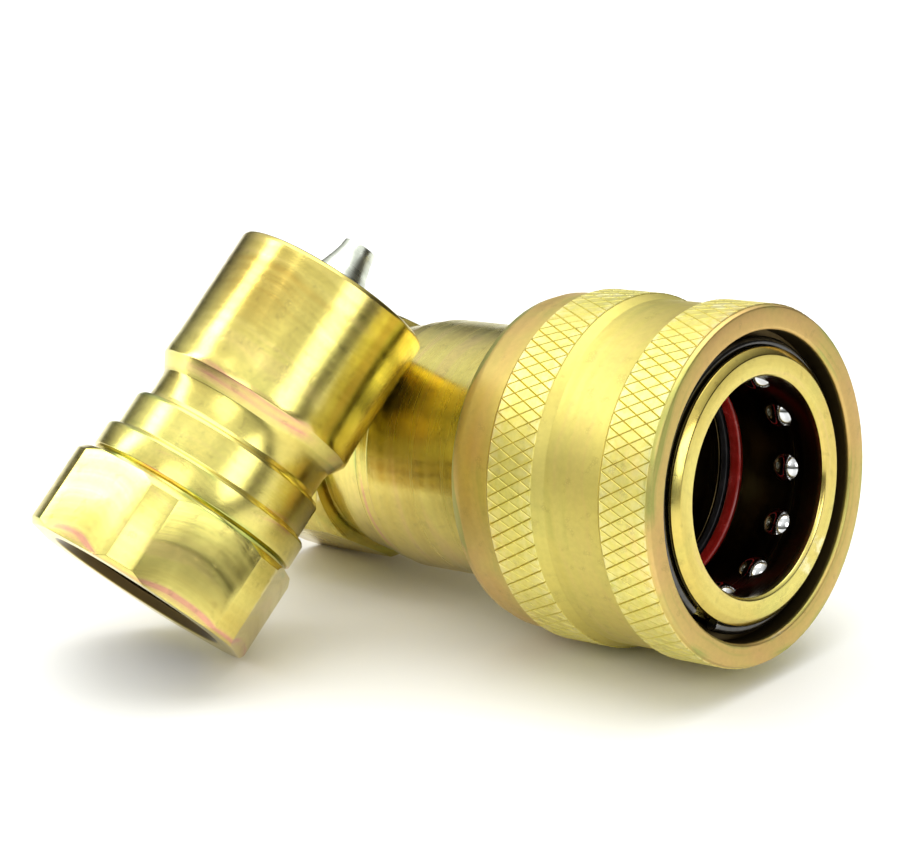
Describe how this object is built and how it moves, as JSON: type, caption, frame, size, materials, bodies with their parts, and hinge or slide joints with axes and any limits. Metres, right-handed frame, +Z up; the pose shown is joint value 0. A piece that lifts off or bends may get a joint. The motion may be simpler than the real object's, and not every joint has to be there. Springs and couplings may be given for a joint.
{
  "type": "quick disconnect coupler",
  "caption": "Ball-locked hydraulic quick coupler: knurled-sleeve socket lying with its poppet-valved plug leaning on it; threaded hex ends, yellow zinc finish.",
  "frame": {"origin": "centre of the footprint of the pair on the floor they lie on", "axes": "+Z up; +X towards the open nose of the socket, seen from above; the plug leans over towards +Y"},
  "size_m": [0.1102, 0.1136, 0.073],
  "materials": {
    "zinc": "yellow passivated zinc plate, satin with rainbow tints",
    "zinc_sleeve": "yellow passivated zinc plate, knurled",
    "ball_steel": "polished",
    "valve_steel": "turned, bright",
    "spring_steel": "drawn wire",
    "ring_steel": "phosphated wire, dark",
    "red_seal": "satin",
    "black_seal": "satin"
  },
  "bodies": {
    "socket": {"socket_body": "zinc", "rear_adapter": "zinc", "adapter_o_ring": "black_seal", "sleeve_snap_ring": "ring_steel", "bore_seal": "red_seal", "backup_ring": "black_seal", "sleeve_spring": "spring_steel", "socket_poppet_spring": "spring_steel", "socket_valve_guide": "zinc"},
    "sleeve": {"locking_sleeve": "zinc_sleeve", "spring_washer": "valve_steel"},
    "socket_valve": {"socket_poppet": "valve_steel", "socket_poppet_seal": "black_seal"},
    "plug": {"plug_body": "zinc", "plug_poppet_spring": "spring_steel", "plug_valve_guide": "zinc", "plug_guide_circlip": "spring_steel"},
    "plug_valve": {"plug_poppet": "valve_steel", "plug_poppet_seal": "black_seal"},
    "ball_01_body": {"ball_01": "ball_steel"},
    "ball_02_body": {"ball_02": "ball_steel"},
    "ball_03_body": {"ball_03": "ball_steel"},
    "ball_04_body": {"ball_04": "ball_steel"},
    "ball_05_body": {"ball_05": "ball_steel"},
    "ball_06_body": {"ball_06": "ball_steel"},
    "ball_07_body": {"ball_07": "ball_steel"},
    "ball_08_body": {"ball_08": "ball_steel"},
    "ball_09_body": {"ball_09": "ball_steel"},
    "ball_10_body": {"ball_10": "ball_steel"},
    "ball_11_body": {"ball_11": "ball_steel"},
    "ball_12_body": {"ball_12": "ball_steel"}
  },
  "joints": [
    {"name": "sleeve_slide", "type": "slide", "parent": "socket", "child": "sleeve", "axis": [-0.9937, 0, -0.1122], "range_m": [0, 0.009], "stiffness_N_per_m": 3000, "springref_m": -0.01, "deforming": ["sleeve_spring"]},
    {"name": "socket_valve_slide", "type": "slide", "parent": "socket", "child": "socket_valve", "axis": [-0.9937, 0, -0.1122], "range_m": [0, 0.0065], "stiffness_N_per_m": 2500, "springref_m": -0.006, "deforming": ["socket_poppet_spring"]},
    {"name": "plug_lift_off", "type": "slide", "parent": "socket", "child": "plug", "axis": [0, 0, 1], "range_m": [0, 0.06]},
    {"name": "plug_valve_slide", "type": "slide", "parent": "plug", "child": "plug_valve", "axis": [-0.125, -0.6678, -0.7337], "range_m": [0, 0.0065], "stiffness_N_per_m": 2500, "springref_m": -0.006, "deforming": ["plug_poppet_spring"]},
    {"name": "ball_01_slide", "type": "slide", "parent": "socket", "child": "ball_01_body", "axis": [-0.0437, 0.921, 0.3871], "range_m": [0, 0.0014]},
    {"name": "ball_02_slide", "type": "slide", "parent": "socket", "child": "ball_02_body", "axis": [-0.0895, 0.6028, 0.7929], "range_m": [0, 0.0014]},
    {"name": "ball_03_slide", "type": "slide", "parent": "socket", "child": "ball_03_body", "axis": [-0.1113, 0.1231, 0.9861], "range_m": [0, 0.0014]},
    {"name": "ball_04_slide", "type": "slide", "parent": "socket", "child": "ball_04_body", "axis": [-0.1033, -0.3896, 0.9152], "range_m": [0, 0.0014]},
    {"name": "ball_05_slide", "type": "slide", "parent": "socket", "child": "ball_05_body", "axis": [-0.0676, -0.7979, 0.599], "range_m": [0, 0.0014]},
    {"name": "ball_06_slide", "type": "slide", "parent": "socket", "child": "ball_06_body", "axis": [-0.0138, -0.9924, 0.1223], "range_m": [0, 0.0014]},
    {"name": "ball_07_slide", "type": "slide", "parent": "socket", "child": "ball_07_body", "axis": [0.0437, -0.921, -0.3871], "range_m": [0, 0.0014]},
    {"name": "ball_08_slide", "type": "slide", "parent": "socket", "child": "ball_08_body", "axis": [0.0895, -0.6028, -0.7929], "range_m": [0, 0.0014]},
    {"name": "ball_09_slide", "type": "slide", "parent": "socket", "child": "ball_09_body", "axis": [0.1113, -0.1231, -0.9861], "range_m": [0, 0.0014]},
    {"name": "ball_10_slide", "type": "slide", "parent": "socket", "child": "ball_10_body", "axis": [0.1033, 0.3896, -0.9152], "range_m": [0, 0.0014]},
    {"name": "ball_11_slide", "type": "slide", "parent": "socket", "child": "ball_11_body", "axis": [0.0676, 0.7979, -0.599], "range_m": [0, 0.0014]},
    {"name": "ball_12_slide", "type": "slide", "parent": "socket", "child": "ball_12_body", "axis": [0.0138, 0.9924, -0.1223], "range_m": [0, 0.0014]}
  ],
  "couplings": [
    {"joint": "ball_01_slide", "follows": "sleeve_slide", "ratio": 0.1555},
    {"joint": "ball_02_slide", "follows": "sleeve_slide", "ratio": 0.1555},
    {"joint": "ball_03_slide", "follows": "sleeve_slide", "ratio": 0.1555},
    {"joint": "ball_04_slide", "follows": "sleeve_slide", "ratio": 0.1555},
    {"joint": "ball_05_slide", "follows": "sleeve_slide", "ratio": 0.1555},
    {"joint": "ball_06_slide", "follows": "sleeve_slide", "ratio": 0.1555},
    {"joint": "ball_07_slide", "follows": "sleeve_slide", "ratio": 0.1555},
    {"joint": "ball_08_slide", "follows": "sleeve_slide", "ratio": 0.1555},
    {"joint": "ball_09_slide", "follows": "sleeve_slide", "ratio": 0.1555},
    {"joint": "ball_10_slide", "follows": "sleeve_slide", "ratio": 0.1555},
    {"joint": "ball_11_slide", "follows": "sleeve_slide", "ratio": 0.1555},
    {"joint": "ball_12_slide", "follows": "sleeve_slide", "ratio": 0.1555}
  ]
}
